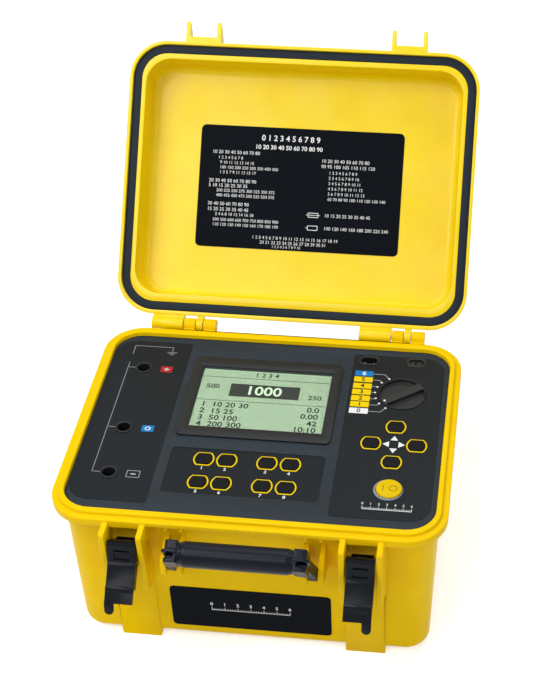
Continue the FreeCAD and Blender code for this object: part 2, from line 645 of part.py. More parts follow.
# ---------------------------------------------------------------- latches
arm_y = joint_y - latch_pin_y
arm_z = latch_pin_z - joint_z
for side, word in ((-1, "left"), (1, "right")):
    centre = side * latch_x
    link = body("latch_link_" + word)
    half = latch_half - lever_wall - part_gap
    raise_x(link, centre - half, centre + half, polygon, [
        (-latch_pin_y - 0.6, latch_pin_z + eye_small - 0.4),
        (-joint_y - 0.6, joint_z + eye_small - 0.4),
        (-joint_y + 0.6, joint_z - eye_small + 0.4),
        (-latch_pin_y + 0.6, latch_pin_z - eye_small + 0.4)])
    raise_x(link, centre - half, centre + half, circle, -latch_pin_y, latch_pin_z, eye_big)
    raise_x(link, centre - half, centre + half, circle, -joint_y, joint_z, eye_small)
    sink_x(link, centre - half, centre + half, circle, -latch_pin_y, latch_pin_z,
           latch_pin_r + run_gap)
    sink_x(link, centre - half, centre + half, circle, -joint_y, joint_z, joint_pin_r + run_gap)
    lever = body("latch_lever_" + word)
    top = (-joint_y + 1.0, joint_z + 22.3)
    ridge = (-joint_y - 6.2, joint_z + 2.3)
    lower = (-joint_y - 21.3, joint_z - 11.0)
    flap = (-joint_y - 30.3, joint_z - 19.7)
    inner = [(-joint_y - 30.3 + lever_wall * 0.70, joint_z - 19.7 - lever_wall * 0.72),
             (-joint_y - 21.3 + lever_wall * 0.66, joint_z - 11.0 - lever_wall * 0.74),
             (-joint_y - 6.2 + lever_wall * 0.86, joint_z + 2.3 - lever_wall * 0.55),
             (-joint_y + 1.0 + lever_wall * 0.94, joint_z + 22.3 - lever_wall * 0.34)]
    raise_x(lever, centre - latch_half, centre + latch_half, polygon,
            [top, ridge, lower, flap] + inner)
    raise_x(lever, centre - latch_half, centre + latch_half, polygon, [
        top, (-joint_y + 1.0 + 9.6, joint_z + 22.3 - 7.0), (-joint_y + 1.0 + 7.7, joint_z + 22.3 - 9.6),
        (-joint_y - 0.9, joint_z + 22.3 - 3.4)])
    for a in (centre - latch_half, centre + latch_half - lever_wall):
        raise_x(lever, a, a + lever_wall, polygon, [
            top, ridge, lower, (-joint_y - 15, joint_z - 18.1), (-joint_y - 1, joint_z - 5.2),
            (-joint_y + 3.4, joint_z - 3.6), (-joint_y + 4.2, joint_z + 4), (-joint_y + 3.8, joint_z + 19)])
    sink_x(lever, centre - latch_half, centre + latch_half, circle, -joint_y, joint_z, joint_pin_r)
    a = centre + side * (latch_half - tail_r) - tail_r
    raise_x(lever, a, a + tail_r * 2, polygon, [
        flap, (-joint_y - 32.3, joint_z - 26.2), (-joint_y - 30.6, joint_z - 26.7), inner[0]])
    tip = sketch(lever, "XY_Plane")
    tip.AttachmentOffset = FreeCAD.Placement(V(value_of(a + tail_r), -value_of(joint_y) - 32.3,
                                               value_of(joint_z) - 26.2), FreeCAD.Rotation(V(1, 0, 0), 72.9))
    bind(tip, "AttachmentOffset.Base.x", a + tail_r)
    bind(tip, "AttachmentOffset.Base.y", -joint_y - 32.3)
    bind(tip, "AttachmentOffset.Base.z", joint_z - 26.2)
    circle(tip, 0, 0, tail_r)
    pad(lever, tip, 1.8, reverse=True)
    sink_x(lever, centre - 6.6, centre + 6.6, polygon, [
        (-joint_y - 1.6, joint_z + 15.4), (-joint_y - 5.6, joint_z + 4.2),
        (-joint_y - 4.4, joint_z + 3.7), (-joint_y - 0.4, joint_z + 14.9)])
    for up in (3.0, 10.6):
        foot = (ridge[0] + up * 0.339, ridge[1] + up * 0.941)
        raise_x(lever, centre - 6.4, centre + 6.4, polygon, [
            (foot[0] + 1.5, foot[1] - 0.54), (foot[0] - 0.3, foot[1] + 0.1),
            (foot[0] + 0.24, foot[1] + 1.6), (foot[0] + 2.04, foot[1] + 0.96)])
    raise_x(lever, centre - latch_half, centre + latch_half, polygon, [
        (ridge[0] + 0.8, ridge[1] + 2.2), (ridge[0] - 1.0, ridge[1] + 0.9),
        (ridge[0] - 1.5, ridge[1] - 0.4), (ridge[0] - 2.5, ridge[1] - 2.2), (ridge[0] + 0.6, ridge[1] - 1.2)])
    raise_x(lever, centre - latch_half, centre + latch_half, polygon, [
        (lower[0] + 2.0, lower[1] + 1.76), (lower[0] + 0.2, lower[1] + 1.5),
        (lower[0] - 0.8, lower[1] + 0.7), (lower[0] - 2.2, lower[1] - 2.1), (lower[0] + 0.8, lower[1] - 0.8)])
    node(rod("latch_joint_pin_" + word, "x", centre - latch_half, -joint_y, joint_z, joint_pin_r,
             latch_half * 2), "latch_joint_pin_" + word)
base_pins = [rod("latch_base_pin_%d" % i, "x",
                 fin_inner - fin_thick if i else -fin_outer - fin_thick, -latch_pin_y, latch_pin_z,
                 latch_pin_r, fin_outer - fin_inner + fin_thick * 2) for i in (0, 1)]
node(together("latch_base_pins", base_pins), "latch_base_pins")

# ---------------------------------------------------------------- handle, drawn upright about its pivot
handle = body("handle")
arm_in = ear_inner + part_gap
arm_out = ear_outer - part_gap
corner_out = size("handle_corner_outer_face", 59.8)
corner_in = size("handle_corner_inner_face", 48)
corner_half = size("handle_corner_half_depth", 9.6)
shank_half = size("handle_shank_half_depth", 5.1)


def across(b, half, draw, *args):
    """Pad a front-view outline by the same half depth to the front and to the back."""
    s = sketch(b, "XZ_Plane", -half)
    draw(s, *args)
    return pad(b, s, half * 2)


s = sketch(handle, "YZ_Plane", -grip_half + grip_end)
circle(s, 0, grip_up, grip_r)
pad(handle, s, (grip_half - grip_end) * 2)
for side in (-1, 1):
    s = sketch(handle, "YZ_Plane", side * (grip_half - grip_end))
    circle(s, 0, grip_up, grip_r)
    drafted(handle, "Pad", s, grip_end, grip_run, side < 0)
    across(handle, shank_half, polygon, [
        (side * arm_in, 0), (side * arm_out, 0), (side * arm_out, 12), (side * corner_out, grip_up - 8),
        (side * (corner_in + 3), grip_up - 8), (side * arm_in, 20)])
    across(handle, corner_half, polygon, [
        (side * corner_in, grip_up - 9), (side * (corner_out - 3.5), grip_up - 11.5),
        (side * corner_out, grip_up - 9), (side * (corner_out - 1), grip_up + 7.5),
        (side * (corner_out - 3.5), grip_up + 9.8), (side * corner_in, grip_up + 9.8)])
    across(handle, 1.4, polygon, [
        (side * corner_in, grip_up - 6), (side * (corner_out + 1.4), grip_up - 6),
        (side * (corner_out + 1.4), grip_up + 8), (side * (corner_out - 2), grip_up + 10.6),
        (side * corner_in, grip_up + 10.6)])
    x0 = arm_in if side > 0 else -arm_out
    raise_x(handle, x0, x0 + (arm_out - arm_in), circle, 0, 0, handle_pin_r + 2.6)
    middle = side * (corner_in + corner_out) / 2 + side * 1
    sink_z(handle, grip_up + 1, grip_up + 12, rounded, middle - 4, middle + 4, -5.6, -1.4, small_round)
    sink_x(handle, side * (arm_in + arm_out) / 2 - 6, side * (arm_in + arm_out) / 2 + 6, circle,
           0, 0, handle_pin_r + run_gap)
handle.Placement = FreeCAD.Placement(V(0, -value_of(pivot_y), value_of(pivot_z)),
                                     FreeCAD.Rotation(V(1, 0, 0), value_of(handle_lean)))
bind(handle, "Placement.Base.y", -pivot_y)
bind(handle, "Placement.Base.z", pivot_z)
bind(handle, "Placement.Rotation.Angle", handle_lean)
pins = [rod("handle_pin_%d" % i, "x", ear_inner - ear_thick if i else -ear_outer - ear_thick,
            -pivot_y, pivot_z, handle_pin_r, ear_outer - ear_inner + ear_thick * 2) for i in (0, 1)]
node(together("handle_pins", pins), "handle_pins")

# ---------------------------------------------------------------- front label on the leaning wall
front_label = body("front_label")
plate_half = size("front_label_half_width", 71.6)
plate_high = size("front_label_height", 51)
plate_mid = size("front_label_middle_height", 42.5)
raise_z(front_label, 0, label_thick, rounded, -plate_half, plate_half, -plate_high / 2, plate_high / 2, 4)
lean = "90 deg + atan(%s / %s)" % (draft_run.text, (ledge - shell_bottom).text)
front_label.Placement = FreeCAD.Placement(V(0, -value_of(wall_at(plate_mid)) - 0.01, value_of(plate_mid)),
                                          FreeCAD.Rotation(V(1, 0, 0), 91.7))
bind(front_label, "Placement.Base.y", -wall_at(plate_mid) - 0.01)
bind(front_label, "Placement.Base.z", plate_mid)
front_label.setExpression("Placement.Rotation.Angle", lean)

# ---------------------------------------------------------------- instrument panel
fn_x = [size("function_key_x%d" % (i + 1), v) for i, v in enumerate((-47.6, -27.2, 8.3, 29.0))]
fn_y = [size("function_key_row%d" % (i + 1), v) for i, v in enumerate((-47.3, -76.8))]
nav_x = hw - size("arrow_keys_from_side", 53.7)
nav_y = size("arrow_keys_y", -12.6)
nav_dx = size("arrow_key_spread_x", 20.3)
nav_dy = size("arrow_key_spread_y", 23.4)
keys = []
for j in range(2):
    for i in range(4):
        keys.append(("function_key_%d" % (j * 4 + i + 1), fn_x[i], fn_y[j]))
keys += [("arrow_key_up", nav_x, nav_y + nav_dy), ("arrow_key_left", nav_x - nav_dx, nav_y),
         ("arrow_key_right", nav_x + nav_dx, nav_y), ("arrow_key_down", nav_x, nav_y - nav_dy)]
terminals = [("positive_terminal", terminal_top_y), ("guard_terminal", -terminal_mid_y),
             ("negative_terminal", -terminal_low_y)]

o_left = hw - size("terminal_overlay_from_side", 12.2)
o_right = lcd_x0 + bezel_side + size("terminal_overlay_to_bezel", 8)
o_low = hd - size("overlay_from_front", 25)
o_high = hd - size("overlay_from_back", 21)
o_round = size("overlay_corner_radius", 20)
c_left = lcd_x1 + bezel_side + size("control_overlay_to_bezel", 8.8)
c_right = hw - size("control_overlay_from_side", 15)

panel = body("control_panel")
raise_z(panel, panel_seat, panel_top, inset, rebate_x + 0.2, rebate_y + 0.2, rim_corner - rebate_x - 0.2)
sink_z(panel, panel_top - 0.8, panel_top, rounded, -lcd_x0 - bezel_side + 1.2, lcd_x1 + bezel_side - 1.4,
       fn_y[1] - 15.3, fn_y[0] + 13.2, 4)
for _, y in terminals:
    sink_z(panel, panel_seat, panel_top, circle, -terminal_x, y, terminal_body + 0.05)
sink_z(panel, panel_seat, panel_top, rounded, -lcd_x0, lcd_x1, -lcd_y0, lcd_y1, 1)
for _, x, y in keys:
    sink_z(panel, panel_seat, panel_top, keyshape, x, y, key_flat + part_gap, key_high + part_gap, key_bulge)
sink_z(panel, panel_seat, panel_top, circle, start_x, -start_y, start_r + part_gap)
sink_z(panel, panel_seat, panel_top, circle, knob_x, knob_y, knob_r + 0.5)
sink_z(panel, panel_seat, panel_top, rounded, inlet_x - inlet_half, inlet_x + inlet_half,
       inlet_y - inlet_high, inlet_y + inlet_high, inlet_high - 0.1)
sink_z(panel, panel_seat, panel_top, rounded, port_x - port_half, port_x + port_half,
       port_y - port_high, port_y + port_high, port_high - 0.5)
for sx in (-1, 1):
    for sy in (-1, 1):
        sink_z(panel, panel_seat, panel_top, circle, sx * screw_x, sy * screw_y, screw_r + run_gap)
        sink_z(panel, panel_top - 1.6, panel_top, circle, sx * screw_x, sy * screw_y, head_r + 0.1)

between_rows = (fn_y[0] + fn_y[1]) / 2
for x, y in ((-lcd_x0 + 0.5, between_rows), ((fn_x[1] + fn_x[2]) / 2, between_rows), (c_left - 4.8, between_rows),
             (c_left + 15.2, -o_low + 11.5), (c_right - 21, nav_y + 30.6)):
    raise_z(panel, panel_seat - 8, panel_seat + 0.5, circle, x, y, 3)
s = sketch(panel, "XY_Plane", panel_seat - well_deep)
circle(s, knob_x, knob_y, knob_r + 2.5)
circle(s, knob_x, knob_y, shaft_r + 0.4)
pad(panel, s, 1.8)
s = sketch(panel, "XY_Plane", panel_seat - well_deep + 1)
circle(s, knob_x, knob_y, knob_r + 2.5)
circle(s, knob_x, knob_y, knob_r + 0.5)
pad(panel, s, well_deep)

screws = []
for sx in (-1, 1):
    for sy in (-1, 1):
        n = "panel_screw_%d%d" % (sx + 1, sy + 1)
        screws.append(fused(n, [
            rod(n + "_shank", "z", sx * screw_x, sy * screw_y, panel_top - 14, screw_r, 13),
            rod(n + "_head", "z", sx * screw_x, sy * screw_y, panel_top - 1.6, head_r, 1.5)]))
node(together("panel_screws", screws), "panel_screws")

over = body("terminal_overlay")
raise_z(over, panel_top, panel_top + overlay_thick, rounded, -o_left, -o_right, -o_low, o_high, o_round, 3)
for _, y in terminals:
    sink_z(over, panel_top, panel_top + overlay_thick, circle, -terminal_x, y, terminal_lip + 0.05)

over = body("control_overlay")
raise_z(over, panel_top, panel_top + overlay_thick, rounded, c_left, c_right, -o_low, o_high, 3, o_round)
for _, x, y in keys[8:]:
    sink_z(over, panel_top, panel_top + overlay_thick, keyshape, x, y, key_flat + part_gap,
           key_high + part_gap, key_bulge)
sink_z(over, panel_top, panel_top + overlay_thick, circle, start_x - ring_shift, -start_y - ring_shift,
       ring_r + 0.05)
sink_z(over, panel_top, panel_top + overlay_thick, circle, knob_x, knob_y, knob_r + 0.5)
sink_z(over, panel_top, panel_top + overlay_thick, rounded, inlet_x - inlet_half - 1.6,
       inlet_x + inlet_half + 1.6, inlet_y - inlet_high - 1.6, inlet_y + inlet_high + 1.6,
       inlet_high + 1.5)
sink_z(over, panel_top, panel_top + overlay_thick, rounded, port_x - port_half - port_rim - 0.1,
       port_x + port_half + port_rim + 0.1, port_y - port_high - port_rim - 0.1,
       port_y + port_high + port_rim + 0.1, port_high + 0.5)

over = body("key_overlay")
raise_z(over, panel_top - 0.8, panel_top - 0.8 + overlay_thick, rounded, -lcd_x0 - bezel_side + 1.4,
        lcd_x1 + bezel_side - 1.6, fn_y[1] - 15.1, fn_y[0] + 13, 3.8)
for _, x, y in keys[:8]:
    sink_z(over, panel_top - 0.8, panel_top - 0.8 + overlay_thick, keyshape, x, y,
           key_flat + part_gap, key_high + part_gap, key_bulge)

contact_foot = panel_top - terminal_depth + 3
for name, y in terminals:
    t = body(name)
    raise_z(t, panel_top - terminal_depth, panel_top, circle, -terminal_x, y, terminal_body)
    raise_z(t, panel_top, panel_top + 1.1, circle, -terminal_x, y, terminal_lip)
    sink_z(t, contact_foot, contact_foot + contact_high, circle, -terminal_x, y, contact_r + 0.02)
    sink_z(t, contact_foot + contact_high, panel_top + 1.1, circle, -terminal_x, y, terminal_bore)
contacts = [rod("contact_%d" % i, "z", -terminal_x, y, contact_foot, contact_r,
                contact_high) for i, (_, y) in enumerate(terminals)]
node(together("terminal_contacts", contacts), "terminal_contacts")

bezel = body("lcd_bezel")
s = sketch(bezel, "XY_Plane", panel_top)
rounded(s, -lcd_x0 - bezel_side, lcd_x1 + bezel_side, -lcd_y0 - bezel_low, lcd_y1 + bezel_high, 5)
rounded(s, -lcd_x0, lcd_x1, -lcd_y0, lcd_y1, 1)
pad(bezel, s, bezel_proud)
window = body("lcd_window")
raise_z(window, panel_top - 1.2, panel_top + 0.4, rounded, -lcd_x0 + 0.05, lcd_x1 - 0.05,
        -lcd_y0 + 0.05, lcd_y1 - 0.05, 0.95)
node(box("lcd_module", -lcd_x0 - 4, lcd_x1 + 4, -lcd_y0 - 5, lcd_y1 + 5,
         panel_seat - 8, panel_seat), "lcd_module")
node(box("lcd_glass", -lcd_x0 + 1, lcd_x1 - 1, -lcd_y0 + 1, lcd_y1 - 1,
         panel_seat, panel_top - 1.2), "lcd_glass")

board_top = panel_seat - 8
for name, x, y in keys:
    k = body(name)
    base_z = panel_top - 0.8 if name.startswith("function") else panel_top
    raise_z(k, panel_seat - part_gap - key_skirt, base_z + key_proud, keyshape, x, y,
            key_flat, key_high, key_bulge)
    raise_z(k, panel_seat - part_gap - key_skirt, panel_seat - part_gap, rounded,
            x - key_flat - 4.1, x + key_flat + 4.1, y - key_high - 1, y + key_high + 1, 1)
    raise_z(k, board_top + key_travel + part_gap, panel_seat - part_gap - key_skirt, circle, x, y, key_post)
start = body("start_button")
raise_z(start, panel_seat - part_gap - key_skirt, panel_top + 2.2, circle, start_x, -start_y, start_r)
raise_z(start, panel_seat - part_gap - key_skirt, panel_seat - part_gap, circle, start_x, -start_y, start_r + 2.6)
raise_z(start, board_top + key_travel + part_gap, panel_seat - part_gap - key_skirt, circle, start_x,
        -start_y, key_post)
ring = body("start_button_ring")
s = sketch(ring, "XY_Plane", panel_top)
circle(s, start_x - ring_shift, -start_y - ring_shift, ring_r)
circle(s, start_x, -start_y, start_r + part_gap)
pad(ring, s, 0.9)

# ---------------------------------------------------------------- rotary selector, drawn about its own axis
knob = body("selector_knob")
knob_top = panel_top + 1.2
raise_z(knob, knob_top - knob_deep, knob_top, circle, 0, 0, knob_r)
for side in (-1, 1):
    s = sketch(knob, "XY_Plane", knob_top)
    r = knob_r - knob_rim
    reach = (value_of(r) ** 2 - value_of(knob_bar) ** 2) ** 0.5
    start_pt = V(-side * reach, side * value_of(knob_bar), 0)
    end_pt = V(side * reach, side * value_of(knob_bar), 0)
    s.addGeometry(Part.LineSegment(start_pt, end_pt))
    s.addGeometry(Part.Arc(end_pt, V(0, side * value_of(r), 0), start_pt))
    s.addConstraint(Sketcher.Constraint("Coincident", 0, 2, 1, 1))
    s.addConstraint(Sketcher.Constraint("Coincident", 0, 1, 1, 2))
    fix(s, 1, 3, 0, 0)
    radius(s, 1, r)
    s.addConstraint(Sketcher.Constraint("Horizontal", 0))
    k = s.addConstraint(Sketcher.Constraint("DistanceY", 0, 1, side * value_of(knob_bar)))
    s.setExpression("Constraints[%d]" % k, (side * knob_bar).text)
    pad(knob, s, knob_scoop, "Pocket")
sink_z(knob, knob_top - knob_deep, knob_top - knob_deep + 3, circle, 0, 0, shaft_r + 6)
sink_z(knob, knob_top - knob_deep, knob_top - 4, circle, 0, 0, shaft_r + 0.01)
knob.Placement = FreeCAD.Placement(V(value_of(knob_x), value_of(knob_y), 0),
                                   FreeCAD.Rotation(V(0, 0, 1), value_of(knob_angle)))
bind(knob, "Placement.Base.x", knob_x)
bind(knob, "Placement.Base.y", knob_y)
bind(knob, "Placement.Rotation.Angle", knob_angle)
switch_top = panel_seat - well_deep
switch_high = size("rotary_switch_height", 22)
node(rod("selector_shaft", "z", knob_x, knob_y, switch_top - 6, shaft_r, knob_top - 4 - switch_top + 6),
     "selector_shaft")
node(cut("rotary_switch", rod("switch_can", "z", knob_x, knob_y, switch_top - switch_high, shaft_r + 10,
                              switch_high),
         [rod("switch_bore", "z", knob_x, knob_y, switch_top - 7, shaft_r + run_gap, switch_high)]),
     "rotary_switch")

# ---------------------------------------------------------------- mains inlet and optical port
inlet = body("mains_inlet")
raise_z(inlet, panel_top - 20, panel_top, rounded, inlet_x - inlet_half + 0.05, inlet_x + inlet_half - 0.05,
        inlet_y - inlet_high + 0.05, inlet_y + inlet_high - 0.05, inlet_high - 0.15)
raise_z(inlet, panel_top, panel_top + 1, rounded, inlet_x - inlet_half - 1.5, inlet_x + inlet_half + 1.5,
        inlet_y - inlet_high - 1.5, inlet_y + inlet_high + 1.5, inlet_high + 1.4)
sink_z(inlet, panel_top - 14, panel_top + 1, rounded, inlet_x - inlet_half + inlet_wall,
       inlet_x + inlet_half - inlet_wall, inlet_y - inlet_high + inlet_wall, inlet_y + inlet_high - inlet_wall,
       inlet_high - inlet_wall - 0.1)
pin_pair = [rod("inlet_pin_%d" % i, "z", inlet_x + side * inlet_pin, inlet_y, panel_top - 14, 1.1,
                11) for i, side in enumerate((-1, 1))]
node(together("inlet_pins", pin_pair), "inlet_pins")
port = body("optical_port")
raise_z(port, panel_seat - 3, panel_top, rounded, port_x - port_half + 0.05, port_x + port_half - 0.05,
        port_y - port_high + 0.05, port_y + port_high - 0.05, port_high - 0.55)
raise_z(port, panel_top, panel_top + 0.8, rounded, port_x - port_half - port_rim, port_x + port_half + port_rim,
        port_y - port_high - port_rim, port_y + port_high + port_rim, port_high + 0.4)
sink_z(port, panel_top - 1.5, panel_top + 0.8, rounded, port_x - port_half + 1.7, port_x + port_half - 1.7,
       port_y - port_high + 1.7, port_y + port_high - 1.7, port_high - 1.8)
for side in (-1, 1):
    raise_z(port, panel_top - 1.6, panel_top - 0.4, circle, port_x + side * 3.1, port_y, 2.5)

# ---------------------------------------------------------------- inside the case
floor = shell_bottom + wall
deck = size("main_board_height", 88)
board_thick = size("board_thickness", 1.6)
node(fused("keypad_board", [
    box("keypad_plate", -lcd_x0 - 6, c_right - 16, -o_low + 8, -lcd_y0 - 8, board_top - board_thick, board_top),
    box("keypad_wing", c_left + 3, c_right - 16, -lcd_y0 - 9, nav_y + nav_dy + 12,
        board_top - board_thick, board_top)]), "keypad_board")
node(box("main_board", -hw + 30, hw - 30, -hd + 40, hd - 40, deck, deck + board_thick), "main_board")
standoffs = []
for i, (sx, sy) in enumerate(((-1, -1), (-1, 1), (1, -1), (1, 1))):
    standoffs.append(rod("standoff_%d" % i, "z", sx * (hw - 36), sy * (hd - 46), floor, 4, deck - floor))
node(together("board_standoffs", standoffs), "board_standoffs")
node(box("high_voltage_module", -hw + 42, -42, -62, 62, floor, floor + 62), "high_voltage_module")
node(box("power_supply", 62, hw - 44, -62, 20, floor, floor + 48), "power_supply")
cell_r = size("battery_cell_radius", 11)
cells = []
for i in range(4):
    for j in range(2):
        cells.append(rod("cell_%d_%d" % (i, j), "z", -24 + (i * 2.05) * cell_r - 6,
                         -40 + j * cell_r * 2.05, floor, cell_r, 50))
node(together("battery_cells", cells), "battery_cells")
node(box("battery_clamp", -41, 49, -51, -7, floor + 50, floor + 52), "battery_clamp")
fuse_r = size("fuse_radius", 3.25)
fuse_long = size("fuse_length", 32)
fuse_x = size("fuse_holder_x", 66)
fuse_y = size("fuse_holder_y", 41)
holder = box("holder_block", fuse_x, fuse_x + fuse_long + 4, fuse_y - 7, fuse_y + 7, floor, floor + 14)
node(cut("fuse_holder", holder, [rod("holder_bore", "x", fuse_x, fuse_y, floor + 8, fuse_r + 0.05,
                                     fuse_long + 4)]), "fuse_holder")
node(rod("fuse", "x", fuse_x + 2, fuse_y, floor + 8, fuse_r, fuse_long), "fuse")
node(rod("buzzer", "z", -hw + 60, hd - 60, deck + board_thick, 8, 9), "buzzer")

# ---------------------------------------------------------------- check and export
doc.recompute()
bad = [o.Name for o in doc.Objects if "Invalid" in o.State or "Error" in o.State]
for obj in nodes:
    if obj.Shape.isNull() or not obj.Shape.isValid() or obj.Shape.Volume <= 0:
        bad.append(obj.Name)
if bad:
    raise RuntimeError("bad objects: " + ", ".join(bad))
os.makedirs("parts", exist_ok=True)
for obj in nodes:
    obj.Shape.exportStep("parts/%s.step" % obj.Label)
print("exported", len(nodes), "nodes")
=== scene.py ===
import json
import math

import bmesh
import bpy
from mathutils import Matrix, Vector


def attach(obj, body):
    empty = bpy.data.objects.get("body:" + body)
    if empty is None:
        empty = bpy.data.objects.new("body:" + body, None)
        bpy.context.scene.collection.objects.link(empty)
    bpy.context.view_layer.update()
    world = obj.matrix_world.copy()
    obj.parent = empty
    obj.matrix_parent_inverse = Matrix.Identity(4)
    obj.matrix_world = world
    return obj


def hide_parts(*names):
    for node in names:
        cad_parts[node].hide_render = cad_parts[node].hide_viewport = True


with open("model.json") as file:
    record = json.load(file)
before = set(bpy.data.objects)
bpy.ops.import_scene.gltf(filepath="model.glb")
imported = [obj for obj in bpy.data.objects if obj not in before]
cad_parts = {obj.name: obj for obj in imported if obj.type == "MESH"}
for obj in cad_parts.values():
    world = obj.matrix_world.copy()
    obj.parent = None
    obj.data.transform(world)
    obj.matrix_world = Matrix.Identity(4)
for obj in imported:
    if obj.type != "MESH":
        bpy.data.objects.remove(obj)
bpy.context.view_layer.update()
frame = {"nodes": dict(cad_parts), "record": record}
nodes = frame["nodes"]
scene = bpy.context.scene
HINGE = Vector((0.0, 0.1411, 0.1573))
OPEN = math.radians(-129.2)
FILM = 0.1569          # top of the two side films
KEY_FILM = 0.1561      # top of the film round the function keys
KNOB_TOP = 0.15778
START_TOP = 0.15878
LID_RIM, LID_DEPTH, LABEL_THICK = 0.1577, 0.0389, 0.0004
KEY_HALF, KEY_BULGE = 0.0066, 0.0026


# ---------------------------------------------------------------- materials
def material(name, color, rough, metal=0.0, grain=0.0, scale=900.0, shade=0.0, rough_var=0.08,
             coat=0.0, spec=0.5, shade_scale=35.0, wave=0.0):
    """Moulded or metal surface with fine grain bump, patchy roughness and slight tone changes."""
    m = bpy.data.materials.new(name)
    m.use_nodes = True
    t = m.node_tree
    b = t.nodes["Principled BSDF"]
    b.inputs["Base Color"].default_value = (*color, 1)
    b.inputs["Metallic"].default_value = metal
    b.inputs["Specular IOR Level"].default_value = spec
    b.inputs["Coat Weight"].default_value = coat
    b.inputs["Coat Roughness"].default_value = 0.24
    coords = t.nodes.new("ShaderNodeTexCoord")
    fine = t.nodes.new("ShaderNodeTexNoise")
    fine.inputs["Scale"].default_value = scale
    fine.inputs["Detail"].default_value = 4
    t.links.new(coords.outputs["Object"], fine.inputs["Vector"])
    wide = t.nodes.new("ShaderNodeTexNoise")
    wide.inputs["Scale"].default_value = shade_scale
    wide.inputs["Detail"].default_value = 5
    t.links.new(coords.outputs["Object"], wide.inputs["Vector"])
    span = t.nodes.new("ShaderNodeMapRange")
    span.inputs["To Min"].default_value = max(0.03, rough - rough_var)
    span.inputs["To Max"].default_value = min(1.0, rough + rough_var)
    t.links.new(wide.outputs["Fac"], span.inputs["Value"])
    t.links.new(span.outputs["Result"], b.inputs["Roughness"])
    if shade:
        ramp = t.nodes.new("ShaderNodeValToRGB")
        ramp.color_ramp.elements[0].position = 0.3
        ramp.color_ramp.elements[1].position = 0.7
        ramp.color_ramp.elements[0].color = (*[c * (1 - shade) for c in color], 1)
        ramp.color_ramp.elements[1].color = (*[min(1, c * (1 + shade)) for c in color], 1)
        t.links.new(wide.outputs["Fac"], ramp.inputs["Fac"])
        t.links.new(ramp.outputs["Color"], b.inputs["Base Color"])
    if grain:
        bump = t.nodes.new("ShaderNodeBump")
        bump.inputs["Strength"].default_value = grain
        bump.inputs["Distance"].default_value = 0.0004
        t.links.new(fine.outputs["Fac"], bump.inputs["Height"])
        t.links.new(bump.outputs["Normal"], b.inputs["Normal"])
    if wave:
        slow = t.nodes.new("ShaderNodeTexNoise")
        slow.inputs["Scale"].default_value = 11
        slow.inputs["Detail"].default_value = 1
        t.links.new(coords.outputs["Object"], slow.inputs["Vector"])
        swell = t.nodes.new("ShaderNodeBump")
        swell.inputs["Strength"].default_value = wave
        swell.inputs["Distance"].default_value = 0.02
        t.links.new(slow.outputs["Fac"], swell.inputs["Height"])
        t.links.new(swell.outputs["Normal"], b.inputs["Coat Normal"])
    return m


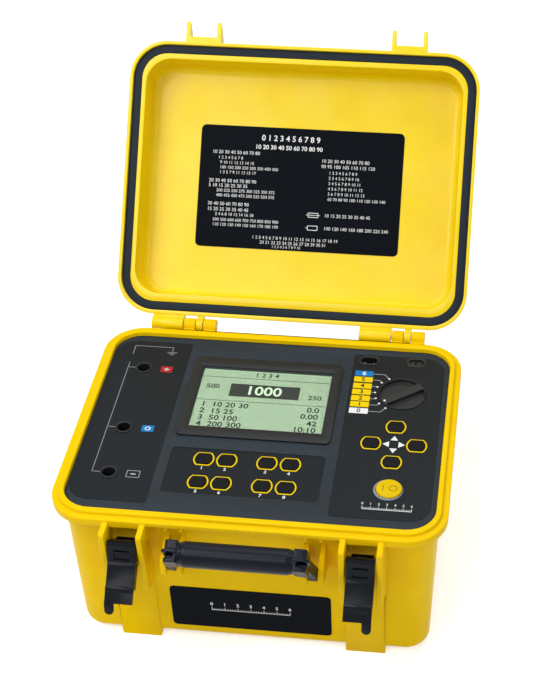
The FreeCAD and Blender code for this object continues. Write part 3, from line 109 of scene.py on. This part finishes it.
M = {
    "yellow_case": material("case_yellow", (0.84, 0.55, 0.0), 0.42, grain=0.12, scale=500, shade=0.03,
                            spec=0.06),
    "lid_gloss": material("lid_yellow", (0.84, 0.61, 0.0), 0.40, grain=0.05, scale=500, shade=0.03, spec=0.14,
                          coat=0.30, wave=0.35),
    "panel_dark": material("panel_plastic", (0.015, 0.023, 0.031), 0.55, grain=0.55, scale=1500, shade=0.12,
                           spec=0.20),
    "overlay_dark": material("overlay_film", (0.0050, 0.0076, 0.010), 0.50, grain=0.16, scale=2500,
                             shade=0.08,
                             spec=0.14),
    "label_black": material("label_film", (0.0030, 0.0045, 0.007), 0.55, grain=0.08, scale=2200, shade=0.1,
                            spec=0.03),
    "gasket_rubber": material("gasket_rubber", (0.006, 0.012, 0.021), 0.6, grain=0.25, scale=1300, shade=0.15,
                              spec=0.18),
    "latch_black": material("latch_nylon", (0.002, 0.003, 0.006), 0.27, grain=0.12, scale=1200, shade=0.12,
                            spec=0.15, rough_var=0.05),
    "knob_black": material("knob_plastic", (0.016, 0.016, 0.0175), 0.45, grain=0.22, scale=1200, shade=0.12,
                           spec=0.25),
    "handle_black": material("handle_rubber", (0.0018, 0.0045, 0.0100), 0.30, grain=0.10, scale=1400,
                             shade=0.12,
                             spec=0.14, rough_var=0.05),
    "pin_steel": material("pin_steel", (0.5, 0.5, 0.5), 0.32, 1.0, grain=0.15, scale=1800, shade=0.06),
    "key_black": material("key_rubber", (0.0035, 0.0042, 0.005), 0.55, grain=0.2, scale=1700, shade=0.1,
                          spec=0.10),
    "key_yellow": material("key_yellow", (0.68, 0.46, 0.0), 0.4, grain=0.08, scale=900, shade=0.03,
                           spec=0.08),
    "ring_grey": material("ring_grey", (0.20, 0.22, 0.27), 0.4, grain=0.1, scale=1500, shade=0.05, spec=0.3),
    "socket_black": material("socket_black", (0.006, 0.006, 0.007), 0.35, grain=0.12, scale=1600, shade=0.1,
                             spec=0.3),
    "pin_bright": material("pin_bright", (0.78, 0.78, 0.76), 0.35, 1.0, grain=0.1, scale=1500, shade=0.05),
    "contact_brass": material("contact_brass", (0.62, 0.45, 0.17), 0.3, 1.0, grain=0.12, scale=1500,
                              shade=0.08),
    "screen": material("screen_backing", (0.64, 0.89, 0.59), 0.4, grain=0.03, scale=2500, shade=0.02,
                       spec=0.2),
    "bezel_dark": material("bezel_plastic", (0.010, 0.012, 0.014), 0.45, grain=0.2, scale=1800, shade=0.1,
                           spec=0.24),
    "board_green": material("board_green", (0.02, 0.13, 0.05), 0.4, grain=0.15, scale=900, shade=0.15),
    "module_grey": material("module_paint", (0.2, 0.21, 0.22), 0.5, grain=0.3, scale=900, shade=0.08),
    "potting_resin": material("potting_resin", (0.02, 0.02, 0.024), 0.3, grain=0.12, scale=700, shade=0.1),
    "cell_blue": material("cell_wrap", (0.04, 0.10, 0.32), 0.35, grain=0.1, scale=900, shade=0.06),
    "screw_zinc": material("screw_zinc", (0.6, 0.6, 0.6), 0.25, 1.0, grain=0.1, scale=1500, shade=0.05),
    "screw_black": material("screw_black", (0.03, 0.03, 0.032), 0.4, 1.0, grain=0.1, scale=1500, shade=0.05),
    "ink_yellow": material("ink_yellow", (0.80, 0.56, 0.0), 0.5, grain=0.05, scale=2500, shade=0.02,
                           spec=0.08),
    "ink_white": material("ink_white", (0.76, 0.77, 0.78), 0.5, grain=0.05, scale=2500, shade=0.02, spec=0.2),
    "ink_grey": material("ink_grey", (0.27, 0.28, 0.30), 0.5, grain=0.05, scale=2500, shade=0.03, spec=0.2),
    "ink_blue": material("ink_blue", (0.0, 0.17, 0.46), 0.5, grain=0.05, scale=2500, shade=0.02, spec=0.2),
    "ink_red": material("ink_red", (0.38, 0.010, 0.013), 0.5, grain=0.05, scale=2500, shade=0.02, spec=0.2),
    "ink_black": material("ink_black", (0.012, 0.012, 0.012), 0.5, grain=0.05, scale=2500, shade=0.05,
                          spec=0.2),
    "ink_bronze": material("ink_bronze", (0.30, 0.19, 0.0), 0.5, grain=0.05, scale=2500, shade=0.05,
                           spec=0.2),
    "lcd_ink": material("lcd_ink", (0.012, 0.016, 0.014), 0.5, grain=0.03, scale=2500, shade=0.05, spec=0.2),
}
glass = bpy.data.materials.new("window_acrylic")
glass.use_nodes = True
g = glass.node_tree
p = g.nodes["Principled BSDF"]
p.inputs["Base Color"].default_value = (0.5, 0.6, 0.5, 1)
p.inputs["Alpha"].default_value = 0.04
p.inputs["IOR"].default_value = 1.3
p.inputs["Roughness"].default_value = 0.08
tex = g.nodes.new("ShaderNodeTexNoise")
tex.inputs["Scale"].default_value = 60
bmp = g.nodes.new("ShaderNodeBump")
bmp.inputs["Strength"].default_value = 0.01
g.links.new(tex.outputs["Fac"], bmp.inputs["Height"])
g.links.new(bmp.outputs["Normal"], p.inputs["Normal"])
M["window_clear"] = glass

SLOT = {s["node"]: s["material_slot"] for s in frame["record"]["subparts"]}
BODY = {n: b for b, group in frame["record"]["behaviour"]["bodies"].items() for n in group}
# finishes that differ from the slot's own
FINISH = {"panel_screws": "screw_black", "inlet_pins": "pin_bright"}
for name, obj in nodes.items():
    obj.data.materials.clear()
    obj.data.materials.append(M[FINISH.get(name, SLOT[name])])


# ---------------------------------------------------------------- mesh helpers
def put(name, mesh, mat, body):
    obj = bpy.data.objects.new(name, mesh)
    scene.collection.objects.link(obj)
    mesh.materials.clear()
    mesh.materials.append(M[mat])
    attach(obj, body)
    return obj


def soften(node, width, segments=2, angle=32, mat=None, clamp=True):
    """The node's own shape with its sharp edges rounded over, shown in its place."""
    bm = bmesh.new()
    bm.from_mesh(nodes[node].data)
    bmesh.ops.remove_doubles(bm, verts=bm.verts, dist=1e-5)
    bmesh.ops.dissolve_limit(bm, angle_limit=math.radians(0.6), verts=bm.verts, edges=bm.edges)
    bmesh.ops.connect_verts_concave(bm, faces=bm.faces)
    mesh = bpy.data.meshes.new("soft_" + node)
    bm.to_mesh(mesh)
    bm.free()
    obj = put("soft_" + node, mesh, mat or SLOT[node], BODY[node])
    for f in mesh.polygons:
        f.use_smooth = True
    bevel = obj.modifiers.new("edge", "BEVEL")
    bevel.width = width
    bevel.segments = segments
    bevel.limit_method = "ANGLE"
    bevel.angle_limit = math.radians(angle)
    bevel.harden_normals = True
    bevel.use_clamp_overlap = clamp
    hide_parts(node)
    return obj


def mould(node, voxel, passes, mat=None):
    """The node's own shape in a fine even mesh with its edges blended, shown in its place."""
    mesh = nodes[node].data.copy()
    mesh.name = "mould_" + node
    obj = put("mould_" + node, mesh, mat or SLOT[node], BODY[node])
    remesh = obj.modifiers.new("even", "REMESH")
    remesh.mode = "VOXEL"
    remesh.voxel_size = voxel
    remesh.use_smooth_shade = True
    blend = obj.modifiers.new("blend", "SMOOTH")
    blend.factor = 0.5
    blend.iterations = passes
    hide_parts(node)
    return obj


def solid(name, outline, z0, z1, mat, body, turn=None, bevel=0.0):
    """Flat outline extruded from z0 to z1, then moved by the matrix turn."""
    bm = bmesh.new()
    face = bm.faces.new([bm.verts.new((x, y, z0)) for x, y in outline])
    grown = bmesh.ops.extrude_face_region(bm, geom=[face])
    for v in grown["geom"]:
        if isinstance(v, bmesh.types.BMVert):
            v.co.z = z1
    bmesh.ops.recalc_face_normals(bm, faces=bm.faces)
    if turn is not None:
        bmesh.ops.transform(bm, matrix=turn, verts=bm.verts)
    mesh = bpy.data.meshes.new(name)
    bm.to_mesh(mesh)
    bm.free()
    obj = put(name, mesh, mat, body)
    if bevel:
        mod = obj.modifiers.new("edge", "BEVEL")
        mod.width = bevel
        mod.segments = 2
    return obj


def band(name, outline, inner, z0, z1, mat, body, turn=None):
    """Closed ring between two outlines with the same number of points."""
    bm = bmesh.new()
    n = len(outline)
    rows = [[bm.verts.new((x, y, z)) for x, y in line] for line, z in
            ((outline, z0), (outline, z1), (inner, z1), (inner, z0))]
    for k in range(4):
        a, b = rows[k], rows[(k + 1) % 4]
        for i in range(n):
            bm.faces.new((a[i], a[(i + 1) % n], b[(i + 1) % n], b[i]))
    bmesh.ops.recalc_face_normals(bm, faces=bm.faces)
    if turn is not None:
        bmesh.ops.transform(bm, matrix=turn, verts=bm.verts)
    mesh = bpy.data.meshes.new(name)
    bm.to_mesh(mesh)
    bm.free()
    return put(name, mesh, mat, body)


def round_rect(x0, x1, y0, y1, r, n=8):
    pts = []
    corners = ((x1 - r, y0 + r, -90), (x1 - r, y1 - r, 0), (x0 + r, y1 - r, 90), (x0 + r, y0 + r, 180))
    for cx, cy, a in corners:
        for i in range(n + 1):
            t = math.radians(a + 90 * i / n)
            pts.append((cx + r * math.cos(t), cy + r * math.sin(t)))
    return pts


def disc(x, y, r, n=48):
    return [(x + r * math.cos(2 * math.pi * i / n), y + r * math.sin(2 * math.pi * i / n)) for i in range(n)]


def key_outline(x, y, grow=0.0, n=10):
    """Straight top and bottom, arced ends."""
    flat, hh = 0.0049, KEY_HALF + grow
    r = (KEY_HALF ** 2 + KEY_BULGE ** 2) / (2 * KEY_BULGE) + grow
    cx = flat + KEY_BULGE + grow - r
    a = math.asin(min(1.0, hh / r))
    pts = []
    for i in range(n + 1):
        t = -a + 2 * a * i / n
        pts.append((x + cx + r * math.cos(t), y + r * math.sin(t)))
    for i in range(n + 1):
        t = math.pi - a + 2 * a * i / n
        pts.append((x - cx + r * math.cos(t), y + r * math.sin(t)))
    return pts


def stroke(name, points, width, z, mat, body, turn=None, thick=0.00008):
    """Printed line of constant width along a polyline, mitred at the bends."""
    pts = [Vector(q) for q in points]
    left, right = [], []
    for i, q in enumerate(pts):
        a = (q - pts[i - 1]).normalized() if i else None
        b = (pts[i + 1] - q).normalized() if i < len(pts) - 1 else None
        d = ((a or b) + (b or a)).normalized()
        nrm = Vector((-d.y, d.x))
        k = width / 2 / max(0.4, nrm.dot(Vector((-(a or b).y, (a or b).x))))
        left.append(q + nrm * k)
        right.append(q - nrm * k)
    line = [(v.x, v.y) for v in left] + [(v.x, v.y) for v in reversed(right)]
    bm = bmesh.new()
    n = len(pts)
    low = [bm.verts.new((x, y, z)) for x, y in line]
    high = [bm.verts.new((x, y, z + thick)) for x, y in line]
    for i in range(n - 1):
        j = 2 * n - 1 - i
        bm.faces.new((high[i], high[i + 1], high[j - 1], high[j]))
        bm.faces.new((low[j], low[j - 1], low[i + 1], low[i]))
    m = len(line)
    for i in range(m):
        bm.faces.new((low[i], low[(i + 1) % m], high[(i + 1) % m], high[i]))
    bmesh.ops.recalc_face_normals(bm, faces=bm.faces)
    if turn is not None:
        bmesh.ops.transform(bm, matrix=turn, verts=bm.verts)
    mesh = bpy.data.meshes.new(name)
    bm.to_mesh(mesh)
    bm.free()
    return put(name, mesh, mat, body)


def digits(name, text, x, y, size, z, mat, body, turn=None, align="CENTER", thick=0.00008):
    """Plain numbers as raised print."""
    curve = bpy.data.curves.new(name, "FONT")
    curve.body = text
    curve.size = size
    curve.align_x = align
    curve.align_y = "CENTER"
    curve.extrude = thick / 2
    curve.offset = size * 0.018 if size > 0.005 else 0.0
    curve.resolution_u = 3
    made = bpy.data.objects.new(name, curve)
    scene.collection.objects.link(made)
    bpy.context.view_layer.update()
    mesh = bpy.data.meshes.new_from_object(made.evaluated_get(bpy.context.evaluated_depsgraph_get()))
    bpy.data.objects.remove(made)
    mesh.transform(Matrix.Translation((x, y, z + thick / 2)))
    if turn is not None:
        mesh.transform(turn)
    return put(name, mesh, mat, body)


# ---------------------------------------------------------------- moulded parts with softened edges
soften("base_case", 0.0009, 3, 25, clamp=False)
soften("lid", 0.0007, 2, 25, mat="lid_gloss")
soften("lid_gasket", 0.0008, 3)
for part in ("control_panel", "lcd_bezel", "mains_inlet", "optical_port", "start_button_ring",
             "positive_terminal", "guard_terminal", "negative_terminal"):
    soften(part, 0.0003, 2)
for part in ("latch_lever_left", "latch_lever_right"):
    soften(part, 0.0006, 3)
mould("handle", 0.0006, 7)
for part in ("latch_link_left", "latch_link_right"):
    soften(part, 0.0004, 2)
mould("selector_knob", 0.0004, 3, mat="knob_black")
soften("start_button", 0.0012, 4)
KEYS = [n for n in nodes if n.startswith(("function_key", "arrow_key"))]
for part in KEYS:
    soften(part, 0.0005, 3)

# ---------------------------------------------------------------- print on the panel
FN_X = (-0.0476, -0.0272, 0.0083, 0.0290)
FN_Y = (-0.0473, -0.0768)
NAV = (0.1163, -0.0126)
count = 0
for y in FN_Y:
    for x in FN_X:
        count += 1
        band("key_frame_%d" % count, key_outline(x, y, 0.0018), key_outline(x, y, 0.0005),
             KEY_FILM, 0.15622, "ink_yellow", "case")
        digits("key_number_%d" % count, str(count), x, y - 0.0117, 0.0052, KEY_FILM, "ink_white", "case")
for i, (dx, dy) in enumerate(((0, 0.0234), (-0.0203, 0), (0.0203, 0), (0, -0.0234))):
    x, y = NAV[0] + dx, NAV[1] + dy
    band("arrow_frame_%d" % i, key_outline(x, y, 0.0018), key_outline(x, y, 0.0005), FILM, FILM + 0.00012,
         "ink_yellow", "case")
    ux, uy = ((0, 1), (-1, 0), (1, 0), (0, -1))[i]
    cx, cy = NAV[0] + ux * 0.0068, NAV[1] + uy * 0.0080
    tri = [(cx + ux * 0.0032, cy + uy * 0.0034),
           (cx - ux * 0.0026 - uy * 0.0034, cy - uy * 0.0026 + ux * 0.0038),
           (cx - ux * 0.0026 + uy * 0.0034, cy - uy * 0.0026 - ux * 0.0038)]
    solid("arrow_mark_%d" % i, tri, FILM, FILM + 0.00008, "ink_white", "case")

TAG_Y = (0.0836, 0.0749, 0.0656, 0.0568, 0.0479, 0.0393, 0.0301)
KNOB = (0.1179, 0.0570)
ENDS = (123.5, 143.7, 160.7, 179.8, 199.0, 217.5, 237.6)
for i, y in enumerate(TAG_Y):
    ink = "ink_blue" if i == 0 else "ink_white" if i == 6 else "ink_yellow"
    solid("position_tag_%d" % i, round_rect(0.0718, 0.0890, y - 0.0037, y + 0.0037, 0.0005, 3), FILM,
          FILM + 0.00012, ink, "case")
    digits("position_number_%d" % i, str((6, 5, 4, 3, 2, 1, 0)[i]), 0.0804, y, 0.0074, FILM + 0.00012,
           "ink_white" if i == 0 else "ink_black", "case")
    a = math.radians(ENDS[i])
    ex, ey = KNOB[0] + 0.0249 * math.cos(a), KNOB[1] + 0.0249 * math.sin(a)
    bend = ex - abs(ey - y) * 0.75
    path = [(0.0892, y), (bend, y), (ex, ey)] if abs(ey - y) > 0.0008 else [(0.0892, y), (ex, ey)]
    stroke("position_line_%d" % i, path, 0.0008, FILM, "ink_grey", "case")
    solid("position_dot_%d" % i, disc(ex, ey, 0.0010, 16), FILM, FILM + 0.00012, "ink_white", "case")
a = math.radians(217.5)
solid("selector_dot", disc(KNOB[0] + 0.0190 * math.cos(a), KNOB[1] + 0.0190 * math.sin(a), 0.0011, 20),
      KNOB_TOP, 0.1580, "ink_white", "selector")

for n, pts in enumerate((
        [(-0.1044, 0.1040), (-0.1412, 0.1040), (-0.1412, 0.0910)],
        [(-0.1415, 0.0790), (-0.1415, -0.0732)],
        [(-0.1415, 0.0714), (-0.1345, 0.0714)],
        [(-0.1415, -0.0138), (-0.1345, -0.0138)],
        [(-0.1419, -0.0732), (-0.1345, -0.0732)],
        [(-0.1044, 0.1044), (-0.1044, 0.0965)],
        [(-0.1092, 0.0965), (-0.0996, 0.0965)],
        [(-0.1076, 0.0948), (-0.1012, 0.0948)],
        [(-0.1060, 0.0931), (-0.1028, 0.0931)])):
    stroke("diagram_line_%d" % n, pts, 0.0006, FILM, "ink_grey", "case")
for n, (x, y, ink) in enumerate(((-0.1047, 0.0710, "ink_red"), (-0.1048, -0.0135, "ink_blue"))):
    solid("terminal_tag_%d" % n, round_rect(x - 0.0055, x + 0.0055, y - 0.0042, y + 0.0042, 0.0006, 3), FILM,
          FILM + 0.0001, ink, "case")
stroke("plus_across", [(-0.1072, 0.0710), (-0.1022, 0.0710)], 0.0010, FILM + 0.0001, "ink_white", "case")
stroke("plus_up", [(-0.1047, 0.0688), (-0.1047, 0.0732)], 0.0010, FILM + 0.0001, "ink_white", "case")
band("guard_ring_mark", disc(-0.1048, -0.0135, 0.0026, 24), disc(-0.1048, -0.0135, 0.0017, 24), FILM + 0.0001,
     FILM + 0.0002, "ink_white", "case")
band("minus_edge", round_rect(-0.1110, -0.0990, -0.0780, -0.0690, 0.0009, 3),
     round_rect(-0.1103, -0.0997, -0.0773, -0.0697, 0.0006, 3), FILM, FILM + 0.0001, "ink_grey", "case")
stroke("minus_mark", [(-0.1072, -0.0735), (-0.1028, -0.0735)], 0.0008, FILM, "ink_white", "case")

# start and stop marks on the yellow button: a bar and a ring
solid("start_mark", round_rect(0.1117, 0.1127, -0.0742, -0.0672, 0.0003, 3), START_TOP, 0.15888, "ink_bronze",
      "start_button")
band("stop_mark", disc(0.1209, -0.0707, 0.0037, 32), disc(0.1209, -0.0707, 0.0028, 32), START_TOP, 0.15888,
     "ink_bronze", "start_button")

# ---------------------------------------------------------------- screen picture under the window
LZ = 0.15541
X0, X1, Y0, Y1 = -0.0700, 0.0510, -0.0059, 0.0785


def lx(u):
    return X0 + (X1 - X0) * u


def ly(v):
    return Y0 + (Y1 - Y0) * v


solid("screen_block", round_rect(lx(0.24), lx(0.775), ly(0.55), ly(0.765), 0.0004, 3), LZ, LZ + 0.00003,
      "lcd_ink", "case")
digits("screen_reading", "1000", lx(0.50), ly(0.655), 0.0170, LZ + 0.00003, "screen", "case",
       thick=0.00003)
for n, v in enumerate((0.865, 0.47)):
    stroke("screen_rule_%d" % n, [(lx(0.01), ly(v)), (lx(0.99), ly(v))], 0.0006, LZ, "lcd_ink", "case",
           thick=0.00003)
for n, (text, u, v, h) in enumerate((("500", 0.05, 0.70, 0.0085), ("250", 0.95, 0.60, 0.0085),
                                     ("0.0", 0.95, 0.395, 0.0095), ("0.00", 0.95, 0.285, 0.0095),
                                     ("42", 0.95, 0.175, 0.0095), ("10:10", 0.95, 0.070, 0.0095),
                                     ("1  10 20 30", 0.05, 0.395, 0.0095), ("2  15 25", 0.05, 0.285, 0.0095),
                                     ("3  50 100", 0.05, 0.175, 0.0095), ("4  200 300", 0.05, 0.070, 0.0095),
                                     ("1 2 3 4", 0.50, 0.93, 0.0080))):
    digits("screen_text_%d" % n, text, lx(u), ly(v), h, LZ, "lcd_ink", "case",
           align="LEFT" if u < 0.3 else "RIGHT" if u > 0.7 else "CENTER", thick=0.00003)
# ---------------------------------------------------------------- lid print, in the closed lid's frame
LID = Matrix.Translation(HINGE) @ Matrix.Rotation(OPEN, 4, "X")
INSIDE = Matrix.Translation((0, 0, LID_RIM + LID_DEPTH - LABEL_THICK - HINGE.z))
FACE = LID @ INSIDE @ Matrix.Rotation(math.pi, 4, "X")


def lid_xy(x, y):
    """x, y in the lid's own plane, seen from inside, measured from the middle of the lid."""
    return (x, HINGE.y + y)


# rows of plain numbers: left end, height on the label, letter size, first number, step, how many
LABEL_W, LABEL_H = 0.2024, 0.1209
ROWS = (
    (0.30, 0.090, 0.0078, 0, 1, 10), (0.27, 0.165, 0.0060, 10, 10, 9),
    (0.06, 0.220, 0.0048, 10, 10, 8), (0.09, 0.265, 0.0042, 1, 1, 8), (0.10, 0.305, 0.0042, 9, 1, 7),
    (0.10, 0.345, 0.0042, 100, 50, 8), (0.10, 0.385, 0.0042, 1, 2, 9),
    (0.05, 0.455, 0.0048, 20, 10, 8), (0.05, 0.495, 0.0048, 5, 5, 7), (0.09, 0.535, 0.0042, 200, 25, 8),
    (0.09, 0.575, 0.0042, 400, 25, 8),
    (0.05, 0.645, 0.0048, 30, 10, 7), (0.05, 0.690, 0.0048, 15, 5, 7), (0.09, 0.730, 0.0042, 2, 2, 9),
    (0.08, 0.775, 0.0042, 500, 50, 9), (0.08, 0.815, 0.0042, 110, 10, 9),
    (0.60, 0.255, 0.0048, 10, 10, 8), (0.60, 0.300, 0.0048, 90, 5, 7),
    (0.64, 0.350, 0.0042, 1, 1, 9), (0.64, 0.393, 0.0042, 2, 1, 9), (0.64, 0.436, 0.0042, 3, 1, 9),
    (0.64, 0.479, 0.0042, 4, 1, 9), (0.64, 0.522, 0.0042, 5, 1, 9), (0.64, 0.565, 0.0042, 60, 10, 9),
    (0.63, 0.700, 0.0046, 10, 5, 8), (0.63, 0.805, 0.0046, 100, 20, 8),
    (0.28, 0.905, 0.0044, 1, 1, 19), (0.32, 0.943, 0.0044, 20, 1, 12), (0.38, 0.975, 0.0036, 1, 1, 10),
)


def label_at(u, v):
    """Place on the lid label, u from its left edge and v down from its top edge, as parts of its size."""
    return lid_xy(-0.0024 + (u - 0.5) * LABEL_W, -0.0009 + (0.5 - v) * LABEL_H)


for n, (u, v, high, start, step, many) in enumerate(ROWS):
    px, py = label_at(u, v)
    text = " ".join(str(start + step * i) for i in range(many))
    digits("lid_row_%d" % n, text, px, py, high, 0.0, "ink_white", "lid",
           turn=FACE, align="LEFT", thick=0.00006)
for n, v in enumerate((0.700, 0.805)):
    px, py = label_at(0.575, v)
    band("lid_sign_%d" % n, round_rect(px - 0.0052, px + 0.0052, py - 0.0024, py + 0.0024, 0.0006, 3),
         round_rect(px - 0.0046, px + 0.0046, py - 0.0018, py + 0.0018, 0.0004, 3), 0.0, 0.00006, "ink_white",
         "lid", turn=FACE)
    stroke("lid_sign_line_%d" % n, [(px - 0.0070, py), (px + (0.0070 if n == 0 else -0.0052), py)], 0.0005,
           0.0, "ink_white", "lid", turn=FACE, thick=0.00005)

# round marks that the mould leaves on the lid floor
FLOOR_FACE = FACE @ Matrix.Translation((0, 0, -0.0004))
for i, x in enumerate((-0.128, -0.040, 0.047, 0.132)):
    for j, v in enumerate((0.092, 0.0, -0.090)):
        if j == 1 and i in (1, 2):
            continue
        px, py = lid_xy(x, v)
        band("mould_mark_%d%d" % (i, j), disc(px, py, 0.0047, 40), disc(px, py, 0.0043, 40), 0.0, 0.0001,
             "yellow_case", "lid", turn=FLOOR_FACE)

# seam line of the two moulded halves, along the top of the handle grip
HANDLE_PIVOT = (0, -0.139, 0.117)
GRIP = Matrix.Translation(HANDLE_PIVOT) @ Matrix.Rotation(math.radians(31), 4, "X")
GRIP_MIDDLE = 0.0433
solid("grip_seam", round_rect(-0.0425, 0.0425, -0.00045, 0.00045, 0.0002, 3),
      GRIP_MIDDLE + 0.0109, GRIP_MIDDLE + 0.01125, "handle_black", "handle", turn=GRIP)

# plain scale on the front label, and a smaller one under the start button
shape = nodes["front_label"].data
face = max(shape.polygons, key=lambda f: f.area if f.normal.y < 0 else 0)
near = [v.co for v in shape.vertices if abs((v.co - face.center).dot(face.normal)) < 0.00005]
LABEL = Matrix((Vector((1, 0, 0)), face.normal.cross(Vector((1, 0, 0))), face.normal)).transposed().to_4x4()
LABEL.translation = [(min(p[k] for p in near) + max(p[k] for p in near)) / 2 for k in range(3)]


def numbered_scale(name, x, y, wide, marks, z, ink, body, turn=None, high=0.0052):
    """Row of numbered ticks over a base line, centred at x, y."""
    stroke(name + "_line", [(x - wide / 2, y), (x + wide / 2, y)], 0.0006, z, ink, body, turn=turn)
    for i in range(marks * 5 + 1):
        u = x - wide / 2 + wide * i / (marks * 5)
        tall = 0.0034 if i % 5 == 0 else 0.0018
        stroke("%s_tick_%d" % (name, i), [(u, y), (u, y + tall)], 0.0005, z, ink, body, turn=turn)
        if i % 5 == 0:
            digits("%s_number_%d" % (name, i), str(i // 5), u, y + tall + high * 0.75, high, z, ink, body,
                   turn=turn)


numbered_scale("front_scale", 0, -0.002, 0.070, 6, 0.0, "ink_white", "case", turn=LABEL)
numbered_scale("panel_scale", 0.1175, -0.0960, 0.042, 6, FILM, "ink_white", "case",
               high=0.0040)

# ---------------------------------------------------------------- camera
cam = bpy.data.cameras.new("camera")
cam_obj = bpy.data.objects.new("camera", cam)
scene.collection.objects.link(cam_obj)
az, el, roll = 0.1165, 0.6974, -0.0102
back = Vector((math.sin(az) * math.cos(el), -math.cos(az) * math.cos(el), math.sin(el)))
right = Vector((math.cos(az), math.sin(az), 0))
up = back.cross(right)
r2 = right * math.cos(roll) + up * math.sin(roll)
u2 = up * math.cos(roll) - right * math.sin(roll)
cam_obj.matrix_world = Matrix((
    (r2.x, u2.x, back.x, 0.196712), (r2.y, u2.y, back.y, -1.029813), (r2.z, u2.z, back.z, 1.069741),
    (0, 0, 0, 1)))
cam.lens = 79.6
cam.sensor_width = 36
cam.shift_x = -0.1175
cam.shift_y = 0.0632
scene.camera = cam_obj

# ---------------------------------------------------------------- light and floor
world = bpy.data.worlds.new("world")
scene.world = world
world.use_nodes = True
wt = world.node_tree
bg = wt.nodes["Background"]
bg.inputs["Color"].default_value = (0.95, 0.97, 1.0, 1)
bg.inputs["Strength"].default_value = 0.30


def lamp(name, place, aim, size, power, color=(1, 1, 1)):
    light = bpy.data.lights.new(name, "AREA")
    light.shape = "RECTANGLE"
    light.size, light.size_y = size
    light.energy = power
    light.color = color
    obj = bpy.data.objects.new(name, light)
    scene.collection.objects.link(obj)
    obj.location = place
    obj.rotation_mode = "QUATERNION"
    obj.rotation_quaternion = (Vector(aim) - Vector(place)).to_track_quat("-Z", "Y")
    return obj


lamp("key", (-0.7, -0.5, 1.5), (0, 0.05, 0.15), (0.9, 0.9), 15.5)
lamp("front", (-0.35, -1.35, 1.55), (0, 0.15, 0.25), (0.9, 0.5), 6)
lamp("top", (0.2, 0.6, 1.6), (0, 0.1, 0.2), (1.2, 1.0), 9)
lamp("right", (1.3, -0.7, 0.9), (0.1, 0, 0.12), (0.8, 0.8), 4.5)

floor_mesh = bpy.data.meshes.new("floor")
floor_mesh.from_pydata([(-6, -6, 0), (6, -6, 0), (6, 6, 0), (-6, 6, 0)], [], [(0, 1, 2, 3)])
floor = bpy.data.objects.new("floor", floor_mesh)
scene.collection.objects.link(floor)
fm = bpy.data.materials.new("floor_white")
fm.use_nodes = True
ft = fm.node_tree
fb = ft.nodes["Principled BSDF"]
fb.inputs["Base Color"].default_value = (0.9, 0.9, 0.9, 1)
fb.inputs["Roughness"].default_value = 0.9


def seen(tree):
    """1 for camera, glossy and transmission rays."""
    rays = tree.nodes.new("ShaderNodeLightPath")
    first = tree.nodes.new("ShaderNodeMath")
    first.operation = "MAXIMUM"
    second = tree.nodes.new("ShaderNodeMath")
    second.operation = "MAXIMUM"
    tree.links.new(rays.outputs["Is Camera Ray"], first.inputs[0])
    tree.links.new(rays.outputs["Is Glossy Ray"], first.inputs[1])
    tree.links.new(first.outputs["Value"], second.inputs[0])
    tree.links.new(rays.outputs["Is Transmission Ray"], second.inputs[1])
    return second.outputs["Value"]


white = ft.nodes.new("ShaderNodeEmission")
white.inputs["Color"].default_value = (1, 1, 1, 1)
place = ft.nodes.new("ShaderNodeTexCoord")
far = ft.nodes.new("ShaderNodeVectorMath")
far.operation = "LENGTH"
fade = ft.nodes.new("ShaderNodeMapRange")
fade.inputs["From Min"].default_value = 0.8
fade.inputs["From Max"].default_value = 2.5
fade.inputs["To Min"].default_value = 0.5
fade.inputs["To Max"].default_value = 1.0
ft.links.new(place.outputs["Object"], far.inputs[0])
ft.links.new(far.outputs["Value"], fade.inputs["Value"])
ft.links.new(fade.outputs["Result"], white.inputs["Strength"])
add = ft.nodes.new("ShaderNodeAddShader")
pick = ft.nodes.new("ShaderNodeMixShader")
out = ft.nodes["Material Output"]
ft.links.new(fb.outputs["BSDF"], add.inputs[0])
ft.links.new(white.outputs["Emission"], add.inputs[1])
ft.links.new(seen(ft), pick.inputs["Fac"])
ft.links.new(fb.outputs["BSDF"], pick.inputs[1])
ft.links.new(add.outputs["Shader"], pick.inputs[2])
ft.links.new(pick.outputs["Shader"], out.inputs["Surface"])
floor.data.materials.append(fm)
bw = wt.nodes.new("ShaderNodeBackground")
bw.inputs["Color"].default_value = (1, 1, 1, 1)
bw.inputs["Strength"].default_value = 1.0
mx = wt.nodes.new("ShaderNodeMixShader")
wt.links.new(seen(wt), mx.inputs["Fac"])
wt.links.new(bg.outputs["Background"], mx.inputs[1])
wt.links.new(bw.outputs["Background"], mx.inputs[2])
wt.links.new(mx.outputs["Shader"], wt.nodes["World Output"].inputs["Surface"])
scene.view_settings.view_transform = "Standard"
